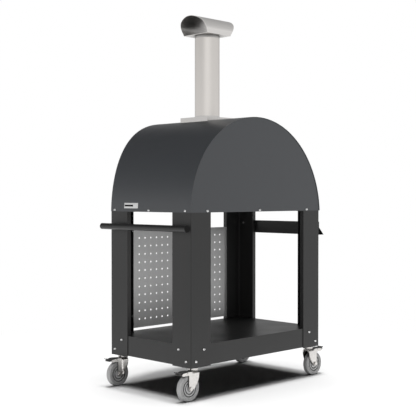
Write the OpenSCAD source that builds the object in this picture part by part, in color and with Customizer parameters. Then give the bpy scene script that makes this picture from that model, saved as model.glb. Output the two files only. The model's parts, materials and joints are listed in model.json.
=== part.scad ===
// Outdoor pizza oven on a wheeled cart.
// The oven's mouth faces -Y, its plain back faces +Y and the tube handle is on the +X side.
// Lengths are in millimetres. The origin is on the floor, under the middle of the outer box.

/* [Cart frame] */
// Width over the legs
cart_w = 1000; // [900:10:1100]
// Depth over the legs
cart_d = 614; // [580:2:680]
// Height of the legs
leg_h = 762; // [700:2:860]
// Width of a leg's front or back face
leg_face_w = 137; // [120:1:150]
// Width of a leg's side face
leg_side_w = 134; // [120:1:150]
// Depth of the lip folded along a leg's free edges
leg_lip = 24; // [24:1:40]
// Thickness of the leg sheet
leg_t = 3; // [2:0.5:4]
// Outside radius of the leg's bend
leg_bend_r = 5; // [4.5:0.5:8]

/* [Lower shelf] */
// Height of the apron round the shelf
apron_h = 104; // [96:1:130]
// Height of the apron's lower edge above the legs' lower ends
apron_lift = 5; // [4:0.5:8]
// Thickness of the shelf sheet
shelf_t = 2; // [1.5:0.5:3]

/* [Tool panel] */
// Distance from the shelf up to the perforated panel
panel_lift = 17; // [10:1:60]
// Distance from the hood's lower edge down to the panel
panel_drop = 104; // [90:1:120]
// Thickness of the panel sheet
panel_t = 1.5; // [1:0.5:2.5]
// Depth of the flanges folded round the panel
panel_flange = 10; // [8:1:10]
// Distance of the panel's face behind the legs' front faces
panel_setback = 14; // [10:1:14]
// Number of peg holes across
peg_cols = 16; // [4:1:16]
// Number of peg holes up
peg_rows = 11; // [3:1:11]
// Spacing of the peg holes across
peg_pitch_x = 42; // [30:1:44]
// Spacing of the peg holes up
peg_pitch_z = 44.3; // [30:0.1:46]
// Diameter of a peg hole
peg_d = 10; // [6:1:14]

/* [Hood] */
// Distance of the hood's lower edge outside the legs' sides
hood_side_lap = 3; // [2:0.5:6]
// Depth of the barrel's axis below the hood's lower edge
hood_drop = 7; // [4:1:12]
// Thickness of the hood sheet
hood_t = 2; // [1.5:0.5:3]
// Distance of the hood's lower front edge behind the legs' front faces
hood_setback = 4; // [2:1:8]
// Overhang of the hood's lower back edge past the legs' back faces
hood_overhang = 3; // [2:1:6]
// Forward sweep of the visor at the crown
visor_reach = 130; // [80:5:160]
// Distance by which the back leans in at the crown
back_lean = 15; // [0:1:20]
// Depth of the rim left round the back panel
back_rim = 3; // [2:0.5:5]

/* [Oven] */
// Least air gap between the insulation and the hood
hood_air = 2.75; // [2:0.25:20]
// Thickness of the vault and the front panel
vault_t = 2; // [1.5:0.5:2.5]
// Least air gap between the insulation and the back panel
back_air = 17; // [10:1:60]
// Thickness of the insulation round the vault
blanket_t = 34; // [24:1:34]
// Thickness of the insulating board under the hearth
board_t = 43; // [38:1:60]
// Thickness of the hearth tiles
tile_t = 30; // [20:1:34]
// Width of the mouth
mouth_w = 560; // [480:2:580]
// Height of the mouth
mouth_h = 250; // [200:2:260]
// Radius of the mouth's arched top
mouth_arc_r = 420; // [380:5:520]
// Distance of the front panel behind the hood's lower front edge
mouth_setback = 41; // [36:1:50]

/* [Door] */
// Thickness of the door leaf
door_t = 12; // [8:1:16]
// Overlap of the door round the mouth
door_lap = 14; // [10:1:18]
// Length of the door's grip
grip_len = 190; // [140:5:240]
// Diameter of the door's grip
grip_d = 24; // [18:1:28]
// Distance from the door to the middle of its grip
grip_reach = 46; // [40:1:60]

/* [Chimney] */
// Distance of the chimney in front of the cart's middle
flue_forward = 82; // [70:1:100]
// Outside diameter of the chimney pipe
pipe_d = 137; // [120:1:150]
// Length of the chimney pipe
pipe_h = 428; // [300:2:600]
// Wall of the chimney pipe
pipe_t = 1.5; // [1:0.5:2]
// Width of the square collar
collar_w = 209; // [190:1:230]
// Height of the collar above the hood's crown
collar_rise = 15; // [12:1:25]
// Width of the cap
cap_w = 194; // [184:1:204]
// Height of the cap
cap_h = 97; // [92:1:104]
// Length of the cap along its base
cap_base_len = 177; // [160:1:200]
// Length of the cap along its top
cap_top_len = 276; // [240:2:290]
// Wall of the cap
cap_t = 1.5; // [1:0.5:2.5]

/* [Side fittings] */
// Diameter of the tube handle
handle_d = 32; // [24:1:36]
// Length of the tube handle with its plugs
handle_len = 654; // [620:2:720]
// Distance from the legs' side faces to the handle's axis
handle_reach = 44; // [40:1:60]
// Distance from the hood's lower edge down to the handle's axis
handle_drop = 78; // [70:1:90]
// Distance from the hood's lower edge down to the side rail
rail_drop = 64; // [56:1:76]
// Height of the side rail
rail_h = 73; // [66:1:84]
// Distance that the side rail stands out
rail_reach = 43; // [34:1:46]
// Thickness of the side rail's sheet
rail_t = 2; // [1.5:0.5:3]

/* [Casters] */
// Height of a caster above its wheel
caster_over = 36; // [34:1:60]
// Diameter of a wheel
wheel_d = 130; // [110:1:136]
// Width of a wheel
wheel_w = 32; // [26:1:36]
// Distance of the wheel's axle behind the swivel axis
caster_trail = 36; // [32:1:40]
// Distance of the swivel axis inside the legs' side faces
caster_side_inset = 49; // [40:1:56]
// Distance of the swivel axis inside the legs' front and back faces
caster_end_inset = 36; // [32:1:50]
// Distance from the swivel axis to the tip of the brake pedal
pedal_reach = 114; // [110:1:124]

/* [Hidden] */
$fn = 64;
big_fn = 180;
cap_fn = 96;
small_fn = 24;

// Allowances
cut = 5;
seat = 0.1;
running = 0.05;
loose = 0.3;

// Heights and outer places
half_w = cart_w / 2;
half_d = cart_d / 2;
caster_h = wheel_d + caster_over;
hood_z = caster_h + leg_h;
hood_r = sqrt(pow(half_w + hood_side_lap, 2) + pow(hood_drop, 2));
hood_h = hood_r - hood_drop;
hood_front = half_d - hood_setback;
hood_back = half_d + hood_overhang;
visor_r = (hood_h * hood_h + visor_reach * visor_reach) / (2 * visor_reach);
shift_y = (hood_front + visor_reach - handle_len / 2) / 2;

// Screws and bolts
screw_r = 3;
screw_head_r = 5;
screw_head_h = 3;
screw_socket_r = 1.8;
screw_socket_h = 1.4;
screw_len = 11;
bolt_r = 4;
bolt_head_r = 7;
bolt_head_h = 4;
nut_r = 7.5;
nut_h = 6.5;

// Places of the leg screws, from the corner and from the leg's lower end
far_screw_in = 88;
far_screw_up = 86;
near_screw_in = 33;
near_screw_up = 31;
leg_tab_w = 92;
top_bolt_in = 58;

// Pan under the oven
pan_t = 2;
pan_flange = 45;
hood_screw_up = 8;
side_screw_in = 37;
back_screw_in = 112;
side_screw_y = half_d - side_screw_in;
back_screw_x = half_w - back_screw_in;
hood_in_r = hood_r - hood_t;
pan_half_w = sqrt(pow(hood_in_r, 2) - pow(pan_flange + hood_drop, 2)) - loose;
pan_back = back_y(pan_flange) - back_rim - hood_t - loose;
sill_t = 1.5;
pan_front = hood_front - sill_t - seat;

// Oven inside, heights from the hood's lower edge
tile_z = pan_t + board_t;
hearth_z = tile_z + tile_t;
mouth_front = hood_front - mouth_setback;
mouth_back = mouth_front - vault_t;
blanket_back = hood_back - back_lean - back_rim - hood_t - back_air;
vault_back = blanket_back - blanket_t - vault_t;
vault_d = vault_back + mouth_back;
vault_r = hood_h - hood_t - hood_air - blanket_t - loose - vault_t - hearth_z;
blanket_out_r = vault_r + vault_t + loose + blanket_t;
board_half_w = blanket_out_r + cut;
tile_joint = 1.2;

// Chimney, heights from the hood's lower edge
pipe_r = pipe_d / 2;
sleeve_out_r = pipe_r - pipe_t - loose;
sleeve_in_r = sleeve_out_r - pipe_t;
sleeve_up = 40;
collar_t = 2;
collar_z = hood_h + collar_rise;
collar_neck_h = 10;
cap_neck_h = 14;
pipe_z = collar_z + collar_neck_h;
cap_z = pipe_z + pipe_h + loose + cap_neck_h;
flue_gap = 2;
cap_shoulder_r = 50;
cap_shoulder_up = 32;
cap_shoulder_x = cap_w / 2 - cap_shoulder_r;
cap_crown_up = cap_h - cap_shoulder_up;
cap_crown_r = (pow(cap_shoulder_x, 2) + pow(cap_crown_up, 2) - pow(cap_shoulder_r, 2))
    / (2 * (cap_crown_up - cap_shoulder_r));
cap_foot_in = 4;

// Badge plate, left bare
badge_w = 110;
badge_h = 28;
badge_t = 2;
badge_up = 17.5;
badge_y = -138;
badge_rim = 3.5;
badge_sink = 0.8;
badge_in_r = hood_r + seat;

// Door, heights from the hood's lower edge
door_gap = 2;
door_foot = 1;
door_back = mouth_front + door_gap;
knuckle_r = 8;
knuckle_h = 26;
knuckle_tab_t = 4;
ear_t = 4;
ear_gap = 0.5;
hinge_pin_r = 4;
hinge_pin_head_r = 6;
hinge_pin_head_h = 3;
hinge_x = mouth_w / 2 + door_lap + knuckle_r + door_gap;
hinge_y = door_back + knuckle_r - seat;
hinge_z_shares = [0.19, 0.47];
hinge_foot_w = 40;
grip_z_share = 0.4;
grip_post_r = 5;
grip_post_inset = 28;
grip_round_r = 5;

// Side fittings
handle_t = 2;
plug_t = 4;
plug_len = 18;
post_r = 9;
post_y = half_d - leg_side_w / 2;
post_bore = 20;
rail_bolt_in = 40;
rail_bolt_down = (rail_h - rail_reach + rail_t) / 2;
panel_h = leg_h - panel_drop - apron_lift - apron_h - panel_lift;
panel_screw_down = 6;
panel_screw_up = 66;
panel_screw_r = 2;
panel_screw_head_r = 4;
panel_screw_head_h = 2.4;
panel_screw_len = 8;
lip_screw_zs = [-panel_drop - panel_screw_down, -panel_drop - panel_h + panel_screw_up];

// Caster, from the floor and the swivel axis
wheel_r = wheel_d / 2;
tyre_bore_share = 0.74;
tyre_in_r = wheel_r * tyre_bore_share;
tyre_round_r = 8;
tyre_groove_share = 0.82;
tyre_groove_r = 1.5;
hub_boss_r = 14;
hub_rim_t = 5;
hub_web_w = 20;
hub_step_r = 31;
hub_step_t = 3;
hub_step_w = 25;
hub_boss_over = 2;
axle_r = 6;
axle_head_r = 10;
axle_head_h = 6;
fork_t = 3;
fork_gap = 3.5;
fork_y = wheel_w / 2 + fork_gap;
fork_end_r = 12;
fork_front = 20;
fork_cheek_h = 16;
fork_bulge_r = 90;
fork_heel_turn = 235;
crown_down = 21;
crown_t = 3;
race_r = 24.5;
race_gap = 0.5;
head_r = 26;
head_h = 10;
head_neck_r = 15;
head_neck_h = 4;
wing_h = 17;
wing_reach = 94;
wing_tip_r = 7;
notch_r = 5;
king_r = 8;
king_head_r = 13;
king_head_h = 3;
stem_r = 6;
stem_len = 26;
stem_nut_r = 10.5;
stem_nut_h = 9;
pedal_pivot_in = 21;
pedal_pivot_x = caster_trail + pedal_pivot_in;
pedal_pivot_down = 25;
pedal_pin_r = 3;
pedal_boss_r = 6.5;
pedal_w = 30;
pedal_tip_w = 36;
pedal_t = 5;
pedal_arm_in = 24;
pedal_top_up = 11;
pedal_dip = 5;
pedal_lobe_r = 7;
pedal_lobe_in = 17;
pedal_lobe_up = 2;
prong_t = 4;
prong_back = 5;
shoe_r = 4;
shoe_x = 8;
shoe_gap = 3.2;
shoe_far = wheel_r + shoe_gap + shoe_r;
shoe_z = wheel_r + sqrt(pow(shoe_far, 2) - pow(pedal_pivot_in + shoe_x, 2));
shoe_down = caster_h - pedal_pivot_down - shoe_z;
crown_z = caster_h - crown_down;

// Corners in the order front left, front right, rear left, rear right, as signs of x and y
corners = [[-1, -1], [1, -1], [-1, 1], [1, 1]];
// How far each caster is turned at rest, from its wheel trailing towards +X
rest_turns = [180, 0, 180, 0];

// Y of the hood's back edge at height z above its lower edge
function back_y(z) = hood_back - back_lean * z / hood_h;

// Centre of the arc of radius r from point a to point b, on the left of the way from a to b
function arc_centre(a, b, r) = let (d = b - a, half = norm(d) / 2)
    (a + b) / 2 + [-d[1], d[0]] * sqrt(r * r - half * half) / (2 * half);

// Moves the cart's middle so that the origin lies under the middle of the outer box
module placed() {
    translate([0, shift_y, 0]) children();
}

// Puts a piece of the oven at the hood's lower edge
module on_cart() {
    placed() translate([0, 0, hood_z]) children();
}

// Extrudes an outline drawn in x and z from y0 to y1
module along_y(y0, y1) {
    translate([0, y1, 0]) rotate([90, 0, 0]) linear_extrude(y1 - y0) children();
}

// Extrudes an outline drawn in y and z from x0 to x1
module along_x(x0, x1) {
    translate([x0, 0, 0]) rotate([90, 0, 90]) linear_extrude(x1 - x0) children();
}

// Turns a child's +Z to point along +X, -X, +Y or -Y
module facing_x(sign) {
    rotate([0, sign * 90, 0]) children();
}

module facing_y(sign) {
    rotate([-sign * 90, 0, 0]) children();
}

module rounded_square(w, d, r) {
    square([w - 2 * r, d], center = true);
    square([w, d - 2 * r], center = true);
    for (sx = [-1, 1], sy = [-1, 1])
        translate([sx * (w / 2 - r), sy * (d / 2 - r)]) circle(r = r);
}

// Button-head screw with a hexagon socket: its head seats at z = 0 and its shank runs to -Z
module button_screw(r, head_r, head_h, len) {
    ball_r = (head_r * head_r + head_h * head_h) / (2 * head_h);
    difference() {
        intersection() {
            translate([0, 0, head_h - ball_r]) sphere(r = ball_r);
            cylinder(r = head_r + cut, h = head_h + cut);
        }
        translate([0, 0, head_h - screw_socket_h])
            cylinder(r = head_r * screw_socket_r / screw_head_r, h = head_h, $fn = 6);
    }
    translate([0, 0, -len]) cylinder(r = r - seat, h = len + seat, $fn = small_fn);
}

// Hexagon-head bolt: its head seats at z = 0 and its shank runs to -Z
module hex_bolt(r, head_r, head_h, len) {
    cylinder(r = head_r, h = head_h, $fn = 6);
    translate([0, 0, -len]) cylinder(r = r - seat, h = len + seat, $fn = small_fn);
}

// Hexagon nut on a shank, seated at z = 0
module nut(r, bore_r, h) {
    difference() {
        cylinder(r = r, h = h, $fn = 6);
        translate([0, 0, -cut]) cylinder(r = bore_r, h = h + 2 * cut, $fn = small_fn);
    }
}

// Bolt seated at z = 0, with a nut on the far side of plates of the given thickness
module bolt_and_nut(thickness) {
    hex_bolt(bolt_r, bolt_head_r, bolt_head_h, thickness + nut_h + seat);
    translate([0, 0, -thickness - nut_h]) nut(nut_r, bolt_r - seat, nut_h);
}

// Section of a leg, with its outer corner at the origin and its faces running to -X and -Y
module leg_section() {
    translate([-leg_face_w, -leg_t]) square([leg_face_w - leg_bend_r, leg_t]);
    translate([-leg_t, -leg_side_w]) square([leg_t, leg_side_w - leg_bend_r]);
    translate([-leg_bend_r, -leg_bend_r]) intersection() {
        difference() {
            circle(r = leg_bend_r);
            circle(r = leg_bend_r - leg_t);
        }
        square([leg_bend_r, leg_bend_r]);
    }
}

module leg_lips() {
    lip_z = apron_lift + apron_h;
    translate([-leg_face_w, -leg_lip, lip_z]) cube([leg_t, leg_lip, leg_h - lip_z]);
    translate([-leg_lip, -leg_side_w, lip_z]) cube([leg_lip, leg_t, leg_h - lip_z]);
}

// Places its children on a leg's two faces, at the screws of the apron
module at_leg_screws() {
    sites = [[far_screw_in, far_screw_up], [near_screw_in, near_screw_up]];
    for (site = sites) {
        translate([0, -site[0], site[1]]) facing_x(1) children();
        translate([-site[0], 0, site[1]]) facing_y(1) children();
    }
}

// Places its children, which are drawn for the corner towards +X and +Y, at corner i
module at_corner(i) {
    mirror([corners[i][0] < 0 ? 1 : 0, 0, 0]) mirror([0, corners[i][1] < 0 ? 1 : 0, 0])
        translate([half_w, half_d, caster_h]) children();
}

module leg_holes() {
    at_leg_screws() cylinder(r = screw_r, h = 4 * leg_t, center = true, $fn = small_fn);
    translate([-caster_side_inset, -caster_end_inset, 0])
        cylinder(r = stem_r + seat, h = 4 * leg_t, center = true, $fn = small_fn);
    translate([-top_bolt_in, -top_bolt_in, leg_h])
        cylinder(r = bolt_r, h = 4 * leg_t, center = true, $fn = small_fn);
}

module leg(i) {
    color("#434343") placed() at_corner(i) difference() {
        union() {
            linear_extrude(leg_h) leg_section();
            leg_lips();
            for (z = [0, leg_h - leg_t])
                translate([-leg_tab_w, -leg_tab_w, z])
                    cube([leg_tab_w - leg_t, leg_tab_w - leg_t, leg_t]);
        }
        leg_holes();
        translate([0, 0, leg_h]) {
            leg_side_holes(i);
            if (corners[i][1] < 0) at_panel_lips() panel_screw_hole();
        }
    }
}

// Holes in a leg's side face for the handle's posts or the side rail
module leg_side_holes(i) {
    if (corners[i][0] > 0)
        translate([0, -leg_side_w / 2, -handle_drop]) facing_x(1)
            cylinder(r = bolt_r, h = 4 * leg_t, center = true, $fn = small_fn);
    if (corners[i][0] < 0)
        translate([0, -rail_bolt_in, -rail_drop - rail_bolt_down]) facing_x(1)
            cylinder(r = bolt_r, h = 4 * leg_t, center = true, $fn = small_fn);
}

// Places its children on the lip of a leg's front face, where the tool panel is screwed on
module at_panel_lips() {
    for (z = lip_screw_zs)
        translate([leg_t - leg_face_w, -panel_setback - panel_flange / 2, z]) facing_x(1) children();
}

module panel_screw_hole() {
    cylinder(r = panel_screw_r, h = 4 * leg_t, center = true, $fn = small_fn);
}

module lower_shelf() {
    w = cart_w - 2 * leg_t;
    d = cart_d - 2 * leg_t;
    r = leg_bend_r - leg_t + shelf_t;
    color("#434343") placed() difference() {
        translate([0, 0, caster_h + apron_lift]) difference() {
            linear_extrude(apron_h) rounded_square(w, d, r);
            translate([0, 0, -cut]) linear_extrude(apron_h - shelf_t + cut)
                rounded_square(w - 2 * shelf_t, d - 2 * shelf_t, r - shelf_t + seat);
        }
        for (i = [0 : 3])
            at_corner(i) at_leg_screws()
                cylinder(r = screw_r, h = 4 * (leg_t + shelf_t), center = true, $fn = small_fn);
    }
}

module leg_screws() {
    color("#c9c9c9") placed() for (i = [0 : 3])
        at_corner(i) at_leg_screws() button_screw(screw_r, screw_head_r, screw_head_h, screw_len);
}

module tool_panel() {
    half = half_w - leg_face_w - seat;
    y = -half_d + panel_setback;
    z = -panel_drop - panel_h;
    peg_x0 = -(peg_cols - 1) * peg_pitch_x / 2;
    peg_z0 = z + panel_h / 2 - (peg_rows - 1) * peg_pitch_z / 2;
    color("#999999") on_cart() difference() {
        translate([-half, y, z]) difference() {
            cube([2 * half, panel_flange, panel_h]);
            translate([panel_t, panel_t, panel_t])
                cube([2 * (half - panel_t), panel_flange, panel_h - 2 * panel_t]);
        }
        for (i = [0 : peg_cols - 1], j = [0 : peg_rows - 1])
            translate([peg_x0 + i * peg_pitch_x, y, peg_z0 + j * peg_pitch_z])
                facing_y(1) cylinder(d = peg_d, h = 4 * panel_t, center = true, $fn = small_fn);
        for (i = [0, 1])
            translate([0, 0, -hood_z]) at_corner(i) translate([0, 0, leg_h])
                at_panel_lips() panel_screw_hole();
    }
}

module panel_screws() {
    color("#c9c9c9") placed() for (i = [0, 1])
        at_corner(i) translate([0, 0, leg_h]) at_panel_lips()
            button_screw(panel_screw_r, panel_screw_head_r, panel_screw_head_h, panel_screw_len);
}

module handle_tube() {
    len = handle_len - 2 * plug_t;
    color("#3c3c3c") on_cart() translate([half_w + handle_reach, -len / 2, -handle_drop])
        facing_y(1) difference() {
            cylinder(d = handle_d, h = len);
            translate([0, 0, -cut]) cylinder(d = handle_d - 2 * handle_t, h = len + 2 * cut);
        }
}

module handle_plugs() {
    tube_in_r = handle_d / 2 - handle_t;
    color("#1c1c1c") on_cart() for (sign = [-1, 1])
        translate([half_w + handle_reach, sign * (handle_len / 2 - plug_t), -handle_drop])
            facing_y(sign) {
                cylinder(d = handle_d, h = plug_t);
                translate([0, 0, -plug_len]) cylinder(r = tube_in_r - seat, h = plug_len + seat);
            }
}

module handle_posts() {
    color("#3c3c3c") on_cart() for (sign = [-1, 1])
        translate([half_w, sign * post_y, -handle_drop]) facing_x(1) difference() {
            cylinder(r = post_r, h = handle_reach);
            translate([0, 0, -cut]) cylinder(r = bolt_r, h = post_bore + cut, $fn = small_fn);
            translate([0, 0, handle_reach]) rotate([90, 0, 0])
                cylinder(d = handle_d + 2 * seat, h = 4 * post_r, center = true);
        }
}

// Side rail: an upright web against the legs, with a three-cornered box folded at its foot
module side_rail() {
    slant = rail_t * sqrt(2);
    low = -rail_drop - rail_h;
    slope_top = low + rail_reach - rail_t;
    color("#303030") on_cart() translate([-half_w, 0, 0]) mirror([1, 0, 0]) difference() {
        along_y(-half_d, half_d) difference() {
            polygon([[0, -rail_drop], [rail_t, -rail_drop], [rail_t, slope_top],
                [rail_reach, low], [0, low]]);
            polygon([[rail_t, slope_top - slant], [rail_reach - rail_t - slant, low + rail_t],
                [rail_t, low + rail_t]]);
        }
        for (sign = [-1, 1])
            translate([0, sign * (half_d - rail_bolt_in), -rail_drop - rail_bolt_down]) facing_x(1)
                cylinder(r = bolt_r, h = 4 * rail_t, center = true, $fn = small_fn);
    }
}

module side_bolts() {
    color("#9a9a9a") on_cart() {
        for (sign = [-1, 1]) {
            translate([half_w - leg_t, sign * post_y, -handle_drop]) facing_x(-1)
                hex_bolt(bolt_r, bolt_head_r, bolt_head_h, leg_t + post_bore - cut);
            translate([leg_t - half_w, sign * (half_d - rail_bolt_in), -rail_drop - rail_bolt_down])
                facing_x(1) bolt_and_nut(leg_t + rail_t);
        }
    }
}

module base_pan() {
    d = pan_front + pan_back;
    color("#3a3a3a") on_cart() difference() {
        translate([-pan_half_w, -pan_front, 0]) difference() {
            cube([2 * pan_half_w, d, pan_flange]);
            translate([pan_t, pan_t, pan_t])
                cube([2 * (pan_half_w - pan_t), d - 2 * pan_t, pan_flange]);
        }
        at_hood_screws() cylinder(r = screw_r, h = 4 * screw_len, center = true, $fn = small_fn);
        for (sx = [-1, 1], sy = [-1, 1])
            translate([sx * (half_w - top_bolt_in), sy * (half_d - top_bolt_in), 0])
                cylinder(r = bolt_r, h = 4 * pan_t, center = true, $fn = small_fn);
    }
}

module frame_bolts() {
    color("#9a9a9a") on_cart() for (sx = [-1, 1], sy = [-1, 1])
        translate([sx * (half_w - top_bolt_in), sy * (half_d - top_bolt_in), -leg_t])
            rotate([180, 0, 0]) bolt_and_nut(leg_t + pan_t);
}

// Places its children at the screws along the hood's lower edge
module at_hood_screws() {
    for (sx = [-1, 1], y = [-side_screw_y, 0, side_screw_y])
        translate([sx * hood_r, y, hood_screw_up]) facing_x(sx) children();
    for (x = [-back_screw_x, 0, back_screw_x])
        translate([x, hood_back - back_rim, hood_screw_up]) facing_y(1) children();
}

module hood_screws() {
    color("#c9c9c9") on_cart() at_hood_screws()
        button_screw(screw_r, screw_head_r, screw_head_h, screw_len);
}

// Arch of radius r about the barrel's axis, above the hood's lower edge
module arch(r) {
    intersection() {
        translate([0, -hood_drop]) circle(r = r, $fn = big_fn);
        translate([-r, 0]) square([2 * r, r]);
    }
}

// Side outline of the hood: a leaning back and a front swept forward along an arc
module hood_side() {
    top = hood_h + cut;
    front = hood_front + visor_reach + cut;
    difference() {
        polygon([[-front, 0], [hood_back, 0], [back_y(top), top], [-front, top]]);
        translate([-hood_front - visor_r, 0]) circle(r = visor_r, $fn = big_fn);
    }
}

module hood_shell() {
    color("#4b4c4e") on_cart() difference() {
        intersection() {
            along_y(-hood_front - visor_reach - cut, hood_back + cut) difference() {
                arch(hood_r);
                translate([0, -hood_drop]) circle(r = hood_in_r, $fn = big_fn);
            }
            along_x(-hood_r - cut, hood_r + cut) hood_side();
        }
        translate([0, -flue_forward, hood_h / 2])
            cylinder(r = sleeve_out_r + flue_gap, h = hood_h);
        at_hood_screws() cylinder(r = screw_r, h = 2 * screw_len, center = true, $fn = small_fn);
    }
}

module back_panel() {
    top = hood_h + cut;
    face = hood_back - back_rim;
    color("#525355") on_cart() difference() {
        intersection() {
            along_y(-half_d, hood_back) arch(hood_in_r - seat);
            along_x(-hood_r, hood_r) polygon([[face - hood_t, 0], [face, 0],
                [back_y(top) - back_rim, top], [back_y(top) - back_rim - hood_t, top]]);
        }
        at_hood_screws() cylinder(r = screw_r, h = 2 * screw_len, center = true, $fn = small_fn);
    }
}

// Outline of the mouth, grown by a lap and raised at its foot
module mouth_outline(lap, foot) {
    intersection() {
        translate([-mouth_w / 2 - lap, hearth_z + foot]) square([mouth_w + 2 * lap, mouth_h + lap]);
        translate([0, hearth_z + mouth_h - mouth_arc_r]) circle(r = mouth_arc_r + lap, $fn = big_fn);
    }
}

module front_panel() {
    half = pan_half_w - pan_t - seat;
    color("#b9b9b6") on_cart() along_y(-mouth_front, -mouth_back) difference() {
        intersection() {
            arch(hood_in_r - seat);
            translate([-half, pan_t]) square([2 * half, hood_r]);
        }
        mouth_outline(0, 0);
    }
}

// Landing sill between the hood's front edge and the mouth
module front_sill() {
    half = sqrt(pow(hood_in_r, 2) - pow(hearth_z + hood_drop, 2)) - loose;
    color("#b9b9b6") on_cart() along_x(-half, half) {
        translate([-hood_front, hearth_z - sill_t]) square([mouth_setback - seat, sill_t]);
        translate([-hood_front, 0]) square([sill_t, hearth_z]);
    }
}

// Curved band on the hood's side, from radius r0 to r1, drawn in from the badge's edge
module badge_band(r0, r1, inset) {
    intersection() {
        along_y(badge_y - badge_w / 2, badge_y + badge_w / 2) translate([0, -hood_drop]) difference() {
            circle(r = r1, $fn = big_fn);
            circle(r = r0, $fn = big_fn);
        }
        translate([hood_r / 2, badge_y - badge_w / 2 + inset, badge_up + inset])
            cube([hood_r, badge_w - 2 * inset, badge_h - 2 * inset]);
    }
}

// Bare plate with a raised rim
module badge_plate() {
    color("#d8d8d8") on_cart() difference() {
        badge_band(badge_in_r, badge_in_r + badge_t, 0);
        badge_band(badge_in_r + badge_t - badge_sink, badge_in_r + badge_t + cut, badge_rim);
    }
}

// Outline of the vault at radius r, with its upright feet on the board
module vault_outline(r) {
    intersection() {
        translate([0, hearth_z]) circle(r = r, $fn = big_fn);
        translate([-r, hearth_z]) square([2 * r, r]);
    }
    translate([-r, tile_z]) square([2 * r, tile_t]);
}

module oven_vault() {
    color("#8d8d8a") on_cart() difference() {
        along_y(-mouth_back, vault_back + vault_t) vault_outline(vault_r + vault_t);
        along_y(-mouth_back - cut, vault_back) {
            vault_outline(vault_r);
            translate([-vault_r, 0]) square([2 * vault_r, tile_z + seat]);
        }
        translate([0, -flue_forward, hearth_z]) cylinder(r = sleeve_in_r, h = hood_h);
    }
}

module insulation() {
    color("#d9d4c6") on_cart() difference() {
        along_y(-mouth_back + seat, blanket_back) vault_outline(blanket_out_r);
        along_y(-mouth_back - cut, vault_back + vault_t + seat) {
            vault_outline(vault_r + vault_t + loose);
            translate([-vault_r - vault_t - loose, 0])
                square([2 * (vault_r + vault_t + loose), tile_z + seat]);
        }
        translate([0, -flue_forward, hearth_z]) cylinder(r = sleeve_out_r + flue_gap, h = hood_h);
    }
}

module hearth_board() {
    color("#c8c3b5") on_cart() translate([-board_half_w, -mouth_back + seat, pan_t])
        cube([2 * board_half_w, blanket_back + mouth_back, board_t]);
}

module hearth_tiles() {
    tile_w = vault_r - tile_joint;
    tile_d = (vault_d - tile_joint) / 2 - seat;
    color("#b49a7c") on_cart() for (sx = [-1, 1], sy = [-1, 1])
        translate([sx * (tile_w + tile_joint) / 2, (vault_back - mouth_back) / 2
            + sy * (tile_d + tile_joint) / 2, tile_z + tile_t / 2])
            cube([tile_w, tile_d, tile_t], center = true);
}

module flue_throat() {
    color("#a9a9a6") on_cart() difference() {
        translate([0, -flue_forward, hearth_z + vault_r / 2])
            cylinder(r = sleeve_out_r, h = collar_z + sleeve_up - hearth_z - vault_r / 2);
        translate([0, -flue_forward, hearth_z]) cylinder(r = sleeve_in_r, h = hood_h);
        along_y(-half_d, half_d) translate([0, hearth_z])
            circle(r = vault_r + vault_t + seat, $fn = big_fn);
    }
}

module flue_collar() {
    color("#b8b8b4") on_cart() difference() {
        union() {
            translate([-collar_w / 2, -flue_forward - collar_w / 2, hood_h / 2]) difference() {
                cube([collar_w, collar_w, hood_h / 2 + collar_rise]);
                translate([collar_t, collar_t, -collar_t])
                    cube([collar_w - 2 * collar_t, collar_w - 2 * collar_t, hood_h / 2 + collar_rise]);
            }
            translate([0, -flue_forward, collar_z - collar_t])
                cylinder(r = pipe_r, h = collar_t + collar_neck_h);
        }
        along_y(-half_d - visor_reach, half_d) translate([0, -hood_drop])
            circle(r = hood_r + seat, $fn = big_fn);
        translate([0, -flue_forward, 0]) cylinder(r = sleeve_out_r + seat, h = 2 * hood_h);
    }
}

module chimney_pipe() {
    color("#d3cfcb") on_cart() translate([0, -flue_forward, pipe_z]) difference() {
        cylinder(r = pipe_r, h = pipe_h);
        translate([0, 0, -cut]) cylinder(r = pipe_r - pipe_t, h = pipe_h + 2 * cut);
    }
}

// Section of the cap inside a wall, in y and z: steep sides, round shoulders and a flatter crown
module cap_section(wall) {
    foot = cap_w / 2 - cap_foot_in - wall;
    side = cap_w / 2 - wall;
    crown = [0, cap_h - cap_crown_r];
    ray = 2 * [cap_shoulder_x, cap_shoulder_up - crown[1]];
    intersection() {
        union() {
            for (sign = [-1, 1])
                translate([sign * cap_shoulder_x, cap_shoulder_up])
                    circle(r = cap_shoulder_r - wall, $fn = cap_fn);
            polygon([[-foot, 0], [foot, 0], [side, cap_shoulder_up], [-side, cap_shoulder_up]]);
            intersection() {
                translate(crown) circle(r = cap_crown_r - wall, $fn = big_fn);
                polygon([crown, crown + ray, crown + [-ray[0], ray[1]]]);
            }
        }
        translate([-cap_w, wall]) square([2 * cap_w, cap_h]);
    }
}

module chimney_cap() {
    color("#b0b0ab") on_cart() translate([0, -flue_forward, cap_z]) difference() {
        union() {
            intersection() {
                along_x(-cap_top_len / 2, cap_top_len / 2) difference() {
                    cap_section(0);
                    cap_section(cap_t);
                }
                along_y(-cap_w / 2, cap_w / 2) polygon([[-cap_base_len / 2, 0], [cap_base_len / 2, 0],
                    [cap_top_len / 2, cap_h], [-cap_top_len / 2, cap_h]]);
            }
            translate([0, 0, -sleeve_up]) cylinder(r = sleeve_out_r, h = sleeve_up + cap_t);
            translate([0, 0, -cap_neck_h]) cylinder(r = pipe_r, h = cap_neck_h + cap_t);
        }
        translate([0, 0, -sleeve_up - cut]) cylinder(r = sleeve_in_r, h = sleeve_up + 3 * cut);
    }
}

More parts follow.
